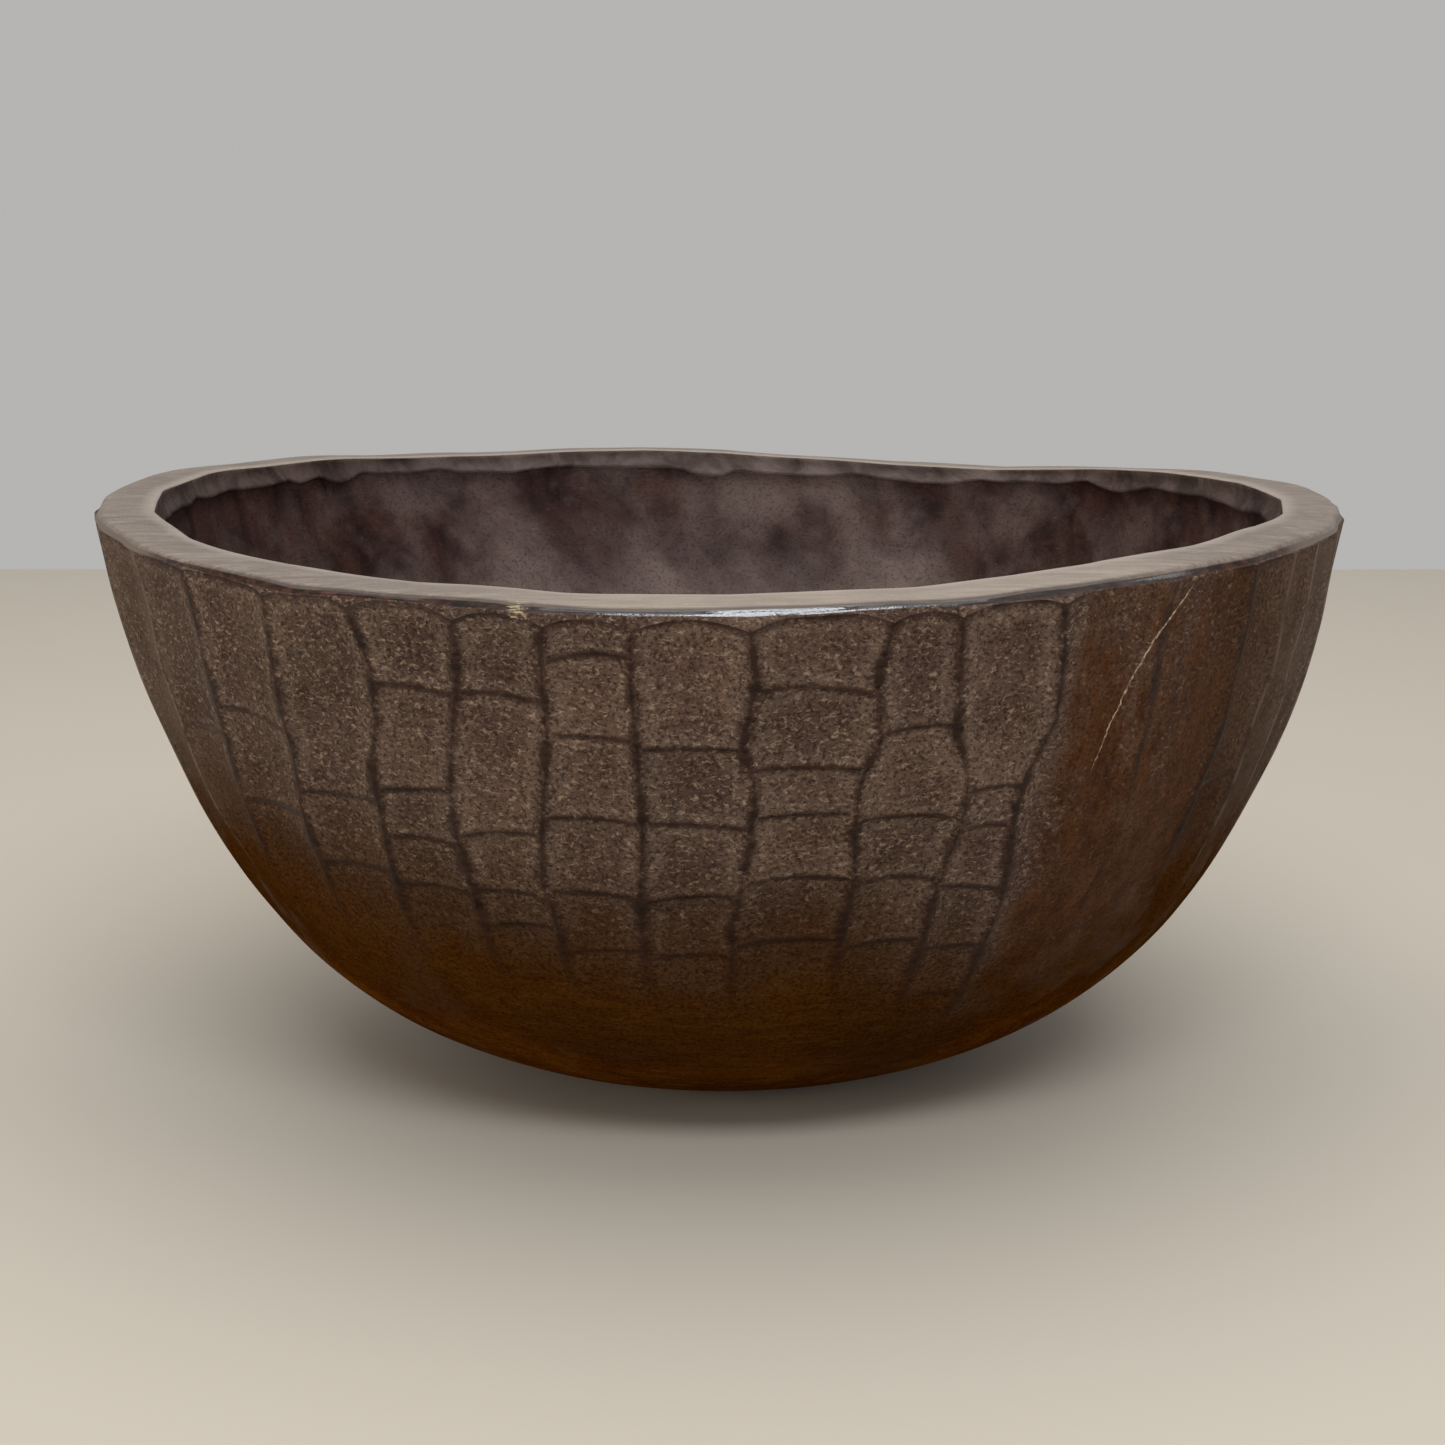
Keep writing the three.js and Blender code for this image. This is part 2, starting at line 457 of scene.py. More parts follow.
# %% Wear near the rim
TOP_RUN = 26            # handling has worn the flutes shallower over this height under the bevel
TOP_WEAR = 0.5          # by this share at the top of the wall
SIDE_TOP_WEAR = 0.6     # and by more at the two sides, where the bowl is held
top_angle = wall_angle[:, -1]
top_facing = facing[:, -1]


def at_sides(where, front, back):
    """1 at the two sides, fading out over the given angles towards the front and towards the back."""
    return smoothly(abs(where), *front) * (1 - smoothly(abs(where), *back))


near_top = smoothly(wall_heights, bevel_foot - TOP_RUN, bevel_foot)
held = at_sides(top_facing, (48, 64), (116, 132))
top_wear = (TOP_WEAR + (SIDE_TOP_WEAR - TOP_WEAR) * held)[:, None]
depth = (scoop + stroke) * (1 - top_wear * near_top)
print("under the bevel the cuts are up to", round(float(depth[:, -1].max()), 2), "mm deep")

# %% Foot of the bevel
BEVEL_SHARE = np.array([
    # angle, how much of its full height the bevel has there
    (-180, 0.55), (-120, 0.5), (-75, 0.38), (-48, 0.4), (-36, 0.6), (-20, 0.8), (0, 0.85), (12, 0.8),
    (22, 0.65), (31, 0.55), (38, 0.4), (75, 0.38), (120, 0.5), (180, 0.55),
])
LEAST_DROP = 3.0        # the bevel is at least this high
ARCH_GAIN = 1.3         # a deep flute lifts the bevel's foot into an arch
MOST_ARCH = 0.5         # by no more than this share of the bevel's height
bevel_share = by_angle(BEVEL_SHARE, top_facing)
foot_shift = (1 - bevel_share) * BEVEL_HEIGHT
free_arch = ARCH_GAIN * depth[:, -1] * BEVEL_HEIGHT / BEVEL_WIDTH
foot_arch = np.minimum(free_arch, MOST_ARCH * BEVEL_HEIGHT * bevel_share)
bevel_drop = np.maximum(BEVEL_HEIGHT - foot_shift - foot_arch, LEAST_DROP)
foot_rise = (BEVEL_HEIGHT - bevel_drop)[:, None]
radius[:, wall] = wall_radius - depth * wall_out
height[:, wall] = wall_heights + depth * wall_up + near_top * foot_rise
angle[:, wall] = wall_angle
print("the bevel is", span(bevel_drop), "mm high")

# %% Mark the wall for the finish
DUST_FADE = (-36, 28)
PAINTED_SHADE_FADE = (-76, -24)
FULL_FADE = (-12, 58)
from_ridge = np.minimum(u, 1 - u) * flute_width
no_ridge = 1 - smoothly(strength, 0.02, 0.3)
no_stop = 1 - smoothly(stops_show, 0.05, 0.5)
marks["ridge"][:, wall] = from_ridge + 0.4 * FAR * no_ridge
marks["stop"][:, wall] = from_stop + 0.3 * FAR * no_stop
marks["dust_and_painted_light"][:, wall] = above_cells(DUST_FADE)
# painted shade: the underside is painted darker just under the cells than nearer the base
marks["painted_shade"][:, wall] = above_cells(PAINTED_SHADE_FADE)
marks["full"][:, wall] = above_cells(FULL_FADE) * by_angle(DUSTINESS, facing)
marks["tone"][:, wall] = tone
marks["worn"][:, wall] = worn
marks["side"][:, wall] = at_sides(facing, (50, 62), (112, 128))
print("the wall is marked")

# %% [markdown]
# ## The rim
#
# The rim was levelled last, then years of handling rounded its two edges. Its section is a flat top with a
# soft edge on each side and a long worn bevel outside, and its inner edge is a chain of short straight cuts.
# The section is a short table that is laid between the two edges at every station. A bevel modifier would
# round both edges alike, and these two are worn differently.

# %% Short cuts round a circle
base = row_groups["base"]
bevel = row_groups["bevel"]
rim = row_groups["rim"]
band = row_groups["band"]
hollow = row_groups["hollow"]
radius[:, base] = np.linspace(0, BASE_RADIUS, BASE_ROWS, endpoint=False)
angle[:, base] = wall_angle[:, :1]
angle[:, bevel.start:] = top_angle[:, None]
turned = top_angle % 360


def divide_circle(count, shortest, longest):
    """Divides the circle into uneven parts. Each station gets its part's number and its share of the part."""
    edges = np.cumsum(draw.uniform(shortest, longest, count))
    edges *= 360 / edges[-1]
    number = np.minimum(np.searchsorted(edges, turned), count - 1)
    start = np.concatenate([[0], edges])[number]
    return number, (turned - start) / (edges[number] - start)


# %% Edges of the rim
INNER_CUTS = 24
CUT_DEPTH = 1.1         # the middle of a straight cut stands this far inside its ends
BEVEL_LEAN = 0.36       # how far the bevel leans in for its height
LEAST_BEVEL = 1.8
_, cut_share = divide_circle(INNER_CUTS, 0.8, 1.2)
outer_edge = RIM_RADIUS - np.maximum(BEVEL_LEAN * BEVEL_HEIGHT * bevel_share, LEAST_BEVEL)
inner_edge = RIM_RADIUS - RIM_WIDTH - CUT_DEPTH * 4 * cut_share * (1 - cut_share)
print("the rim is", round(float((outer_edge - inner_edge).mean()), 1), "mm wide on top")

# %% Round the rim
SOFT = 1.3
HELD_SOFTER = 0.3       # the outer edge is rounder where the bowl is held
rim_section = [
    # share of the way from the outer to the inner edge, millimetres inwards, millimetres down
    (0, 0.0, 1.4), (0, 0.35, 0.5), (0, SOFT, 0.05), (0.3, 0, -0.2), (0.5, 0, -0.3), (0.7, 0, -0.2),
    (1, -SOFT, 0.0), (1, -0.3, 0.35), (1, 0.0, 1.1),
]
for row, (part, inwards, down) in zip(range(rim.start, rim.stop), rim_section):
    rounding = 1 + HELD_SOFTER * held * (part == 0)
    radius[:, row] = outer_edge + (inner_edge - outer_edge) * part - inwards * rounding
    height[:, row] = RIM_HEIGHT - down * rounding
print("the rim's section has", len(rim_section), "points")

# %% Lay the bevel
LIP_DROP = 1.0          # the polished lip at the top of the bevel leans more than the rest
LIP_OUT = 0.5
foot_radius = radius[:, wall.stop - 1]
foot_height = height[:, wall.stop - 1]
lip_radius = outer_edge + LIP_OUT
lip_height = height[:, rim.start] - LIP_DROP
bevel_section = [
    # share of the way from the foot to the lip's lower edge, and from there to the top
    (0.4, 0), (0.8, 0), (1, 0), (1, 0.35), (1, 0.7),
]
for (below, above), row in zip(bevel_section, range(bevel.start, bevel.stop)):
    radius[:, row] = foot_radius + (lip_radius - foot_radius) * below + (outer_edge - lip_radius) * above
    height[:, row] = foot_height + (lip_height - foot_height) * below + LIP_DROP * above
print("the bevel leans in by", round(float((foot_radius - outer_edge).mean()), 1), "mm")

# %% Mark the rim for the finish
GLEAM = np.array([
    # angle, how polished the bevel is there, and how much the rim is painted paler there as painted highlight
    (-60, 0), (-30, 0.15), (-16, 0.5), (-10, 1), (18, 1), (36, 0.8), (44, 0.1),
])
for name in ("tone", "worn"):
    marks[name][:, bevel] = marks[name][:, wall.stop - 1:wall.stop]
marks["dust_and_painted_light"][:, bevel] = 1
marks["bevel"][:, bevel.start + 2:rim.start + 2] = 1
marks["side"][:, bevel.start:rim.start + 3] = held[:, None]
marks["rim"][:, rim.start + 1:rim.stop - 1] = 1
marks["outer_line"][:, rim.start + 1] = smoothly(bevel_share, 0.3, 0.6)
# painted highlight along the rim's inner edge
marks["inner_edge_highlight"][:, rim.stop - 3:rim.stop - 1] = 1
# the gleam also paints the rim paler in front, as a painted highlight
marks["gleam"][:, wall.stop - 1:rim.stop] = by_angle(GLEAM, top_facing)[:, None]
print("the rim is marked")

# %% [markdown]
# ## The band and the hollow
#
# Just inside the mouth a band of short cuts leans inwards, and its lower edge is scalloped and torn where
# each cut ends. Below it the wall steps back by a millimetre or two, so the top of the hollow is moved to
# follow the band's foot, and settles back to its own curve further down.

# %% Length of the band's cuts
BAND_MARKS = 29
BAND_SHARE = np.array([
    # angle, how much of its full height the band has there
    (-180, 0.66), (-165, 0.56), (-150, 0.47), (-130, 0.6), (-110, 0.66), (-60, 0.8), (0, 0.9), (60, 0.85),
    (100, 0.72), (125, 0.56), (140, 0.38), (163, 0.44), (172, 0.56), (180, 0.66),
])
SCALLOP = 2.0
TEAR = 0.35             # the foot is torn by about this much
TEARS = 160
LEAST_BAND = 2.5
mark_number, mark_share = divide_circle(BAND_MARKS, 0.5, 1.6)
arc = np.clip(4 * mark_share * (1 - mark_share), 0, 1)
mark_fall = draw.uniform(-2.0, 2.0, BAND_MARKS)[mark_number]
tears = np.append(draw.normal(0, 1, TEARS), 0)
torn = TEAR * np.interp(turned, np.linspace(0, 360, TEARS + 1), tears)
band_height = BAND_HEIGHT * by_angle(BAND_SHARE, top_facing)
band_height = band_height - SCALLOP / 2 + SCALLOP * arc + mark_fall * 0.6 * arc + torn
band_height = np.maximum(band_height, LEAST_BAND)
print("the band is", span(band_height), "mm high")

# %% Cut the band
DISHED = 1.3            # each cut is hollow by this much
FOOT_OUT = 0.6
FOOT_SLOPE = 0.25       # a shorter cut ends further out
rim_drop = rim_section[-1][2]
band_foot_radius = hollow_top[0] + FOOT_OUT - FOOT_SLOPE * (band_height - BAND_HEIGHT)
band_foot_height = RIM_HEIGHT - band_height
for i, row in enumerate(range(band.start, band.stop)):
    part = (i + 1) / BAND_ROWS
    dished = DISHED * arc * math.sin(math.pi * min(part, 0.9))
    radius[:, row] = inner_edge + (band_foot_radius - inner_edge) * part + dished
    height[:, row] = RIM_HEIGHT - rim_drop + (band_foot_height - RIM_HEIGHT + rim_drop) * part
print("the band has", BAND_MARKS, "cuts")

# %% Let the hollow follow the band's foot
STEP_BACK = 1.5
STEP_DOWN = 0.8
SETTLE_RUN = 16         # how far down the wall the step has mostly settled
run_down = np.concatenate([[0], np.cumsum(np.hypot(*np.diff(hollow_line, axis=0).T))])
ease = np.exp(-run_down / SETTLE_RUN)
radius[:, hollow] = hollow_line[:, 0] + (band_foot_radius - hollow_top[0])[:, None] * ease + STEP_BACK * ease
height[:, hollow] = hollow_line[:, 1] + (band_foot_height - hollow_top[1] - STEP_DOWN)[:, None] * ease
radius[:, row_groups["floor"]] = floor_line[:, 0]
height[:, row_groups["floor"]] = floor_line[:, 1]
print("the hollow steps back by", STEP_BACK, "mm under the band")

# %% Mark the inside for the finish
PALEST_INSIDE = 178          # the inside is palest at the back wall, where dust has settled most and light is painted
hollow_depth = RIM_HEIGHT - np.concatenate([hollow_line[:, 1], floor_line[:, 1]])
settled_dust_and_light = smoothly(hollow_depth, 15, 90)
away = abs((top_facing + 360) % 360 - PALEST_INSIDE)
back_dust_and_light = (1 - 0.75 * smoothly(away, 18, 62))[:, None]
# partly dust, partly painted light and shade: the back wall and floor are painted paler, the sides darker
marks["dust_and_painted_light"][:, hollow.start:] = np.maximum(back_dust_and_light * (0.35 + 0.65 * settled_dust_and_light), settled_dust_and_light * 0.8)
marks["dust_and_painted_light"][:, rim.stop - 1:band.stop] = (1 - smoothly(away, 22, 58))[:, None]
marks["band"][:, rim.stop - 1:band.stop] = 1
marks["inside"][:, rim.stop - 1:] = 1
print("the inside is marked")

# %% [markdown]
# ## Scoops in the hollow
#
# The wall inside is covered with overlapping scoops, longer down the wall than they are wide. Each point is
# cut by the scoop whose centre is nearest, which a search tree finds quickly. Where two scoops meet, a soft
# ridge is left, as it is on the wood. One scoop stamped over and over would look like tiles.

# %% Choose the scoops' centres
SCOOP_SIZE = 34.0
STRETCH = 0.5           # scoops are longer down the wall than they are wide
TWIST = -0.85           # and lean to one side on their way down
inner_rows = slice(hollow.start, ROWS)


def places(rows):
    """The points of some rows in space, in millimetres."""
    turn = np.radians(angle[:, rows])
    across_x = radius[:, rows] * np.sin(turn)
    back_y = -radius[:, rows] * np.cos(turn)
    return np.stack([across_x, back_y, height[:, rows]], axis=-1)


def leaning(points):
    """Points moved so that long, leaning scoops become round ones."""
    down = (RIM_HEIGHT - points[..., 2]) / RIM_HEIGHT
    turn = np.arctan2(points[..., 0], -points[..., 1]) - TWIST * down
    reach = np.hypot(points[..., 0], points[..., 1])
    return np.stack([reach * np.sin(turn), -reach * np.cos(turn), points[..., 2] * STRETCH], axis=-1)


leaned = leaning(places(inner_rows))
flat_points = leaned.reshape(-1, 3)
centres = []
for i in draw.permutation(len(flat_points)):
    point = flat_points[i]
    if all(abs(point[0] - c[0]) + abs(point[1] - c[1]) + abs(point[2] - c[2]) > SCOOP_SIZE for c in centres):
        centres.append(point)
print(len(centres), "scoops in the hollow")

# %% Scoop the hollow
SCOOP_DEPTH = 2.0
FAR_DOWN = 300.0
tree = KDTree(len(centres))
for i, centre in enumerate(centres):
    tree.insert(centre, i)
tree.balance()
found = [tree.find_n(point, 2) for point in flat_points]
nearest = np.array([first[1] for first, _ in found]).reshape(leaned.shape[:2])
distance = np.array([first[2] for first, _ in found]).reshape(leaned.shape[:2])
to_seam = np.array([second[2] - first[2] for first, second in found]).reshape(leaned.shape[:2])
marks["seam"][:, inner_rows] = to_seam
scoop_weight = draw.uniform(0.5, 1.2, len(centres))
inner_cut = SCOOP_DEPTH * scoop_weight[nearest] * (1 - (distance / SCOOP_SIZE) ** 2 * 1.5)
inner_cut *= smoothly(np.concatenate([run_down, np.full(FLOOR_ROWS, FAR_DOWN)]), 0, 8)
inner_slope = np.gradient(np.vstack([hollow_line, floor_line]), axis=0)
inner_slope /= np.hypot(*inner_slope.T)[:, None]
radius[:, inner_rows] -= inner_cut * inner_slope[:, 1]
height[:, inner_rows] += inner_cut * inner_slope[:, 0]
radius[:, ROWS - 1] = 0
height[:, ROWS - 1] = height[:, ROWS - 1].mean()
print("they cut", span(inner_cut, 2), "mm deep")

# %% [markdown]
# ## The whole bowl's gentle unevenness
#
# No hand-made wall is a true circle. A slow swell of a millimetre or two goes over everything, the rim is
# lifted at its two sides and waves a little all the way round, and the base stays flat where it stands. This
# comes last, so that every cut made so far moves with the wall.

# %% Lift the rim
OUTER_WAVE = np.array([
    # angle, how much higher the rim's outer edge stands there
    (-180, 3.9), (-170, 4.8), (-160, 3.6), (-150, 2.6), (-130, 3.4), (-110, 3.0), (-90, 2.0), (-70, 0.0),
    (-58, -1.0), (-48, -0.8), (-42, -1.5), (-36, -2.0), (-30, -0.2), (-20, 0.0), (0, 0.6), (6, 0.9),
    (13, 2.2), (21, 2.0), (26, 2.4), (31, 3.2), (36, 2.8), (49, 3.1), (56, 3.0), (70, 2.5), (90, 1.8),
    (115, 2.4), (131, 0.8), (146, -1.4), (160, -0.4), (172, 1.8), (180, 3.9),
])
INNER_WAVE = np.array([
    # the same for the inner edge
    (-180, 5.0), (-170, 6.0), (-150, 3.8), (-130, 4.4), (-110, 3.8), (-90, 2.6), (-75, 1.2), (-60, 0.3),
    (-45, 0.1), (-35, 0.3), (-25, 0.6), (-15, 1.6), (-8, 2.5), (0, 2.5), (6, 2.9), (11, 3.5), (20, 4.2),
    (25, 4.3), (30, 5.4), (35, 6.2), (48, 6.2), (58, 5.2), (70, 4.2), (90, 3.2), (110, 3.4), (130, 2.2),
    (146, -0.2), (160, 0.8), (172, 3.0), (180, 5.0),
])
turn = np.radians(angle)
facing_all = (angle + 180) % 360 - 180
way_in = np.zeros(ROWS)
way_in[rim] = np.linspace(0, 1, RIM_ROWS)
way_in[rim.stop:] = 1
outer_lift = by_angle(OUTER_WAVE, facing_all)
inner_lift = by_angle(INNER_WAVE, facing_all)
lift = RIM_RISE * np.sin(turn) ** 2 - RIM_TILT * np.sin(turn)
lift += outer_lift + (inner_lift - outer_lift) * way_in
height += lift * smoothly(height, 2 * FLOOR_THICKNESS, RIM_HEIGHT)
print("the rim is", span(height[:, rim]), "mm high")

# %% Swell the wall
BROAD_SWELL = 0.7
NARROW_SWELL = 0.25
OVERSIZE = 0.4
LEAN_LEFT = 1.8         # the whole wall leans to the left by this much at the rim
all_rows = slice(0, ROWS)
everything = places(all_rows)
swell = BROAD_SWELL * lumps(everything, 110, 5) + NARROW_SWELL * lumps(everything, 38, 6)
out_of_round = OVERSIZE - LEAN_LEFT * np.sin(turn) * smoothly(height, 60, 190)
clear_of_base = smoothly(height, 2, 30)
radius += (swell + out_of_round) * clear_of_base * (radius > 20)
print("the wall swells by", span(swell), "mm")

# %% Dent the rim and the bevel
outer_rows = slice(bevel.start, rim.start + 3)
height[:, rim] += 0.35 * lumps(everything[:, rim], 60, 7)
radius[:, outer_rows] += 0.3 * lumps(everything[:, outer_rows], 24, 8)
print("the rim is", span(height[:, rim]), "mm high with its dents")

# %% [markdown]
# ## The scratch and the chip
#
# A tool slipped off the rim on the right and scored a thin pale line down the wall, and a small piece has
# broken from the rim in front. The scratch is far finer than the mesh, so only the distance to its line is
# marked here, and the finish draws it. The chip is big enough to be cut into the rim as well.

# %% Mark the scratch
scratch_line = np.array([
    # angle, height
    (40.2, 199.0), (37.0, 185.5), (35.1, 172.5), (33.7, 159.0), (32.9, 147.0), (32.6, 141.0),
])
ACROSS_SLANT = 0.93     # the line slants, so the shortest way to it is less than the level one
outside_rows = slice(0, rim.start)
line_angle = np.interp(height, scratch_line[::-1, 1], scratch_line[::-1, 0])
off_line = np.radians(facing_all - line_angle) * radius * ACROSS_SLANT
marks["scratch"][:, outside_rows] = np.clip(off_line, -FAR, FAR)[:, outside_rows]
marks["scratch_run"] = (height - scratch_line[-1, 1]) / (scratch_line[0, 1] - scratch_line[-1, 1])
print("the scratch runs over", round(scratch_line[0, 1] - scratch_line[-1, 1]), "mm of height")

# %% Cut the chip
CHIP_ANGLE = math.radians(-15.9)
CHIP_SIZE = 5.5
CHIP_IN = 0.8
CHIP_DOWN = 1.0
edge_radius = outer_edge.mean()
chip_place = np.array([
    edge_radius * math.sin(CHIP_ANGLE), -edge_radius * math.cos(CHIP_ANGLE), RIM_HEIGHT - 1.5,
])
from_chip = np.linalg.norm(places(all_rows) - chip_place, axis=-1)
marks["chip"] = np.minimum(from_chip, FAR)
nick = np.clip(1 - marks["chip"] / CHIP_SIZE, 0, 1)[:, :rim.stop]
radius[:, :rim.stop] -= CHIP_IN * nick
height[:, :rim.stop] -= CHIP_DOWN * nick
everything = places(all_rows)
print("the chip is", CHIP_SIZE * 2, "mm across")

# %% [markdown]
# ## Move the blank's points
#
# Each vertex of the spun blank knows its row, and its place round the circle gives its station. So it can be
# moved straight to its carved place. Every mark is stored on the mesh as a named attribute, for the finish.

# %% Carve the blank
corners = np.array([vertex.co for vertex in blank.verts])
vertex_row = np.array([vertex[row_tag] for vertex in blank.verts])
around = np.arctan2(corners[:, 0], -corners[:, 1]) % (2 * math.pi)
vertex_station = np.rint(around / (2 * math.pi) * STATIONS).astype(int) % STATIONS
carved = everything[vertex_station, vertex_row] * MM
middle = np.hypot(corners[:, 0], corners[:, 1]) < 0.1 * MM
carved[middle, 0:2] = 0

mesh = bpy.data.meshes.new("carved_bowl")
blank.to_mesh(mesh)
blank.free()
mesh.vertices.foreach_set("co", carved.ravel())
mesh.attributes.remove(mesh.attributes["row"])
for name, grid in marks.items():
    layer = mesh.attributes.new(name, "FLOAT", "POINT")
    layer.data.foreach_set("value", grid[vertex_station, vertex_row].astype(np.float32))
mesh.shade_smooth()
mesh.update()
bowl = bpy.data.objects.new("carved_bowl", mesh)
bpy.context.scene.collection.objects.link(bowl)
print("the carved bowl has", sum(len(face.vertices) - 2 for face in mesh.polygons), "triangles")

# %% [markdown]
# ## The finish
#
# The wood is one dark hardwood: dusty in the adze cells, smooth where it is rubbed, dry and grained on the
# rim, rough in the hollow. Each could be a material of its own, but one finish runs into the next without an
# edge. So one material holds them all, and the marks on the mesh say which goes where.

# %% Tools for the finish
finish = bpy.data.materials.new("dark_hardwood")
finish.use_nodes = True
tree_nodes = finish.node_tree.nodes
tree_links = finish.node_tree.links
shader = tree_nodes["Principled BSDF"]
coordinates = tree_nodes.new("ShaderNodeTexCoord").outputs["Object"]


def feed(socket, value):
    """Sets a socket to a number or colour, or links it."""
    if isinstance(value, bpy.types.NodeSocket):
        tree_links.new(value, socket)
    elif isinstance(value, tuple) and len(value) == 3 and socket.type == "RGBA":
        socket.default_value = (*value, 1)
    else:
        socket.default_value = value


def mark(name):
    """A mark that was stored on the mesh."""
    made = tree_nodes.new("ShaderNodeAttribute")
    made.attribute_name = name
    return made.outputs["Fac"]


def sums(operation, first, second=0.0, third=0.0):
    """A small sum on one to three values."""
    made = tree_nodes.new("ShaderNodeMath")
    made.operation = operation
    for socket, value in zip(made.inputs, (first, second, third)):
        feed(socket, value)
    return made.outputs[0]


def product(*values):
    """All the values multiplied together."""
    total = values[0]
    for value in values[1:]:
        total = sums("MULTIPLY", total, value)
    return total


def without(value):
    """What is left of 1 after the value is taken away."""
    return sums("SUBTRACT", 1.0, value)


def between(value, low, high, start=0.0, end=1.0):
    """Turns the range low to high into start to end, with a soft S curve."""
    made = tree_nodes.new("ShaderNodeMapRange")
    made.interpolation_type = "SMOOTHSTEP"
    for socket, number in zip(made.inputs[:5], (value, low, high, start, end)):
        feed(socket, number)
    return made.outputs[0]


# %% Tools for noise and mixing
def noise(size, detail=3.0, stretch=(1, 1, 1), roughness=0.55, seed=0.0, warp=0.0, lean=0.0):
    """Soft random noise with spots of about the given size in millimetres, drawn out by stretch."""
    place = tree_nodes.new("ShaderNodeMapping")
    place.vector_type = "TEXTURE"
    tree_links.new(coordinates, place.inputs["Vector"])
    place.inputs["Location"].default_value = (seed, seed * 0.7, -seed)
    place.inputs["Rotation"].default_value = (0, math.radians(lean), 0)
    place.inputs["Scale"].default_value = tuple(size * MM * s for s in stretch)
    made = tree_nodes.new("ShaderNodeTexNoise")
    tree_links.new(place.outputs["Vector"], made.inputs["Vector"])
    for name, value in (("Scale", 1.0), ("Detail", detail), ("Roughness", roughness), ("Distortion", warp)):
        feed(made.inputs[name], value)
    return made.outputs["Fac"]


def mixed(amount, first, second):
    """Mixes two values."""
    made = tree_nodes.new("ShaderNodeMix")
    for socket, value in ((made.inputs[0], amount), (made.inputs[2], first), (made.inputs[3], second)):
        feed(socket, value)
    return made.outputs[0]


def blend(amount, first, second):
    """Mixes two colours."""
    made = tree_nodes.new("ShaderNodeMix")
    made.data_type = "RGBA"
    for socket, value in zip((made.inputs[0], made.inputs[6], made.inputs[7]), (amount, first, second)):
        feed(socket, value)
    return made.outputs[2]


def coats(colour, *more):
    """Lays coats over a first colour, each given as how much of it there is and its own colour."""
    for amount, coat in more:
        colour = blend(amount, colour, coat)
    return colour


print("the tools for the finish are ready")

# %% [markdown]
# ## Rubbed ridges, and painted shade at the stops
#
# Hands touch only what stands out, so the ridges are rubbed dark and the dust stays between them; each stop
# is painted dark as the shade under its small ledge.
# Painted lines would look drawn. Here the mesh knows how far each point is from the nearest ridge or stop,
# and noise is added to that distance, so the dark edge wanders and frays. At the sides the crests carry a
# painted highlight.

# %% Edges of the cells
SIDE_EDGES = 0.12         # how much of the dark edges is left at the two sides
STOP_NARROWING = 1.9      # the painted shade at the stops is a narrower line than the rubbed ridges
side = mark("side")
wander = noise(12, detail=4, seed=3)
fray = noise(2.0, detail=3, roughness=0.65, seed=5)
loose = sums("MULTIPLY_ADD", wander, 7.5, sums("MULTIPLY_ADD", fray, 4.0, -5.75))
ridge_gap = sums("ADD", mark("ridge"), loose)
# painted shade: the dark line at each stop stands for the shadow under its ledge
stop_gap = sums("MULTIPLY_ADD", loose, 0.5, product(mark("stop"), STOP_NARROWING))
edge_gap = sums("SMOOTH_MIN", ridge_gap, stop_gap, 2.4)
in_front = between(side, 0.1, 0.9, 1.0, SIDE_EDGES)
clear_below = between(mark("dust_and_painted_light"), 0.1, 0.9, 0.0, 1.0)
# rubbed dark ridges, and painted shade along the stops
rubbed_and_stop_shade = product(between(edge_gap, -0.1, 3.1, 1.0, 0.0), in_front, clear_below)
beside_edge = product(between(edge_gap, 1.6, 3.6), between(edge_gap, 4.5, 9.0, 1.0, 0.0))
beside_edge = product(beside_edge, between(mark("worn"), 0.0, 0.15, 1.0, 0.0))
# painted highlight: a pale line along the ridge crests at the sides
crest_highlight = product(between(mark("ridge"), 0.2, 1.9, 0.6, 0.0), side)
crest_highlight = product(crest_highlight, mark("dust_and_painted_light"), between(wander, 0.35, 0.55))
print("the cells have rubbed edges")

# %% [markdown]
# ## Dust in the cells
#
# Years of dust and old wax fill the tool marks and turn them a dull grey-brown. Seen close, this is fine pale
# fibres over dark pits, with slow clouds of lighter and redder brown, and every cell has its own shade. So it
# is laid in coats of noise of different sizes.

# %% Dust in the cells
clouds = noise(24, detail=5, seed=11)
specks = noise(1.3, detail=3, roughness=0.7, seed=21)
fibres = noise(1.35, detail=4, stretch=(1.5, 1.5, 1), roughness=0.75, seed=23, warp=0.7)
full = mark("full")
redder = between(noise(45, detail=2, seed=15), 0.42, 0.68, 0.0, 0.6)
glints = product(between(fibres, 0.5, 0.7, 0.0, 0.8), between(full, 0.0, 1.0, 0.2, 1.0))
handled = product(side, between(clouds, 0.3, 0.7, 0.05, 0.45))
dusty = coats(
    blend(between(clouds, 0.3, 0.7), (0.076, 0.043, 0.029), (0.14, 0.086, 0.061)),
    (redder, (0.076, 0.039, 0.032)),
    (between(mark("tone"), -1.0, 1.0, 0.0, 0.55), (0.04, 0.024, 0.017)),  # each cell's own shade
    (product(beside_edge, 0.34), (0.178, 0.122, 0.09)),                   # dust heaped beside the edges
    (between(full, 0.0, 1.0, 0.76, 0.0), (0.05, 0.02, 0.005)),            # thin, dark dust
    (between(specks, 0.36, 0.56, 0.78, 0.0), (0.018, 0.009, 0.006)),      # pits
    (glints, (0.33, 0.235, 0.168)),
    (handled, (0.098, 0.068, 0.05)),
)
print("the cells are dusty")

# %% [markdown]
# ## Rubbed and worn wood
#
# Three kinds of bare wood show: nearly black ridges, a warm orange-brown underside streaked along the grain,
# and red worn patches with upright streaks. All share the same specks and fibres, so they read as one wood.

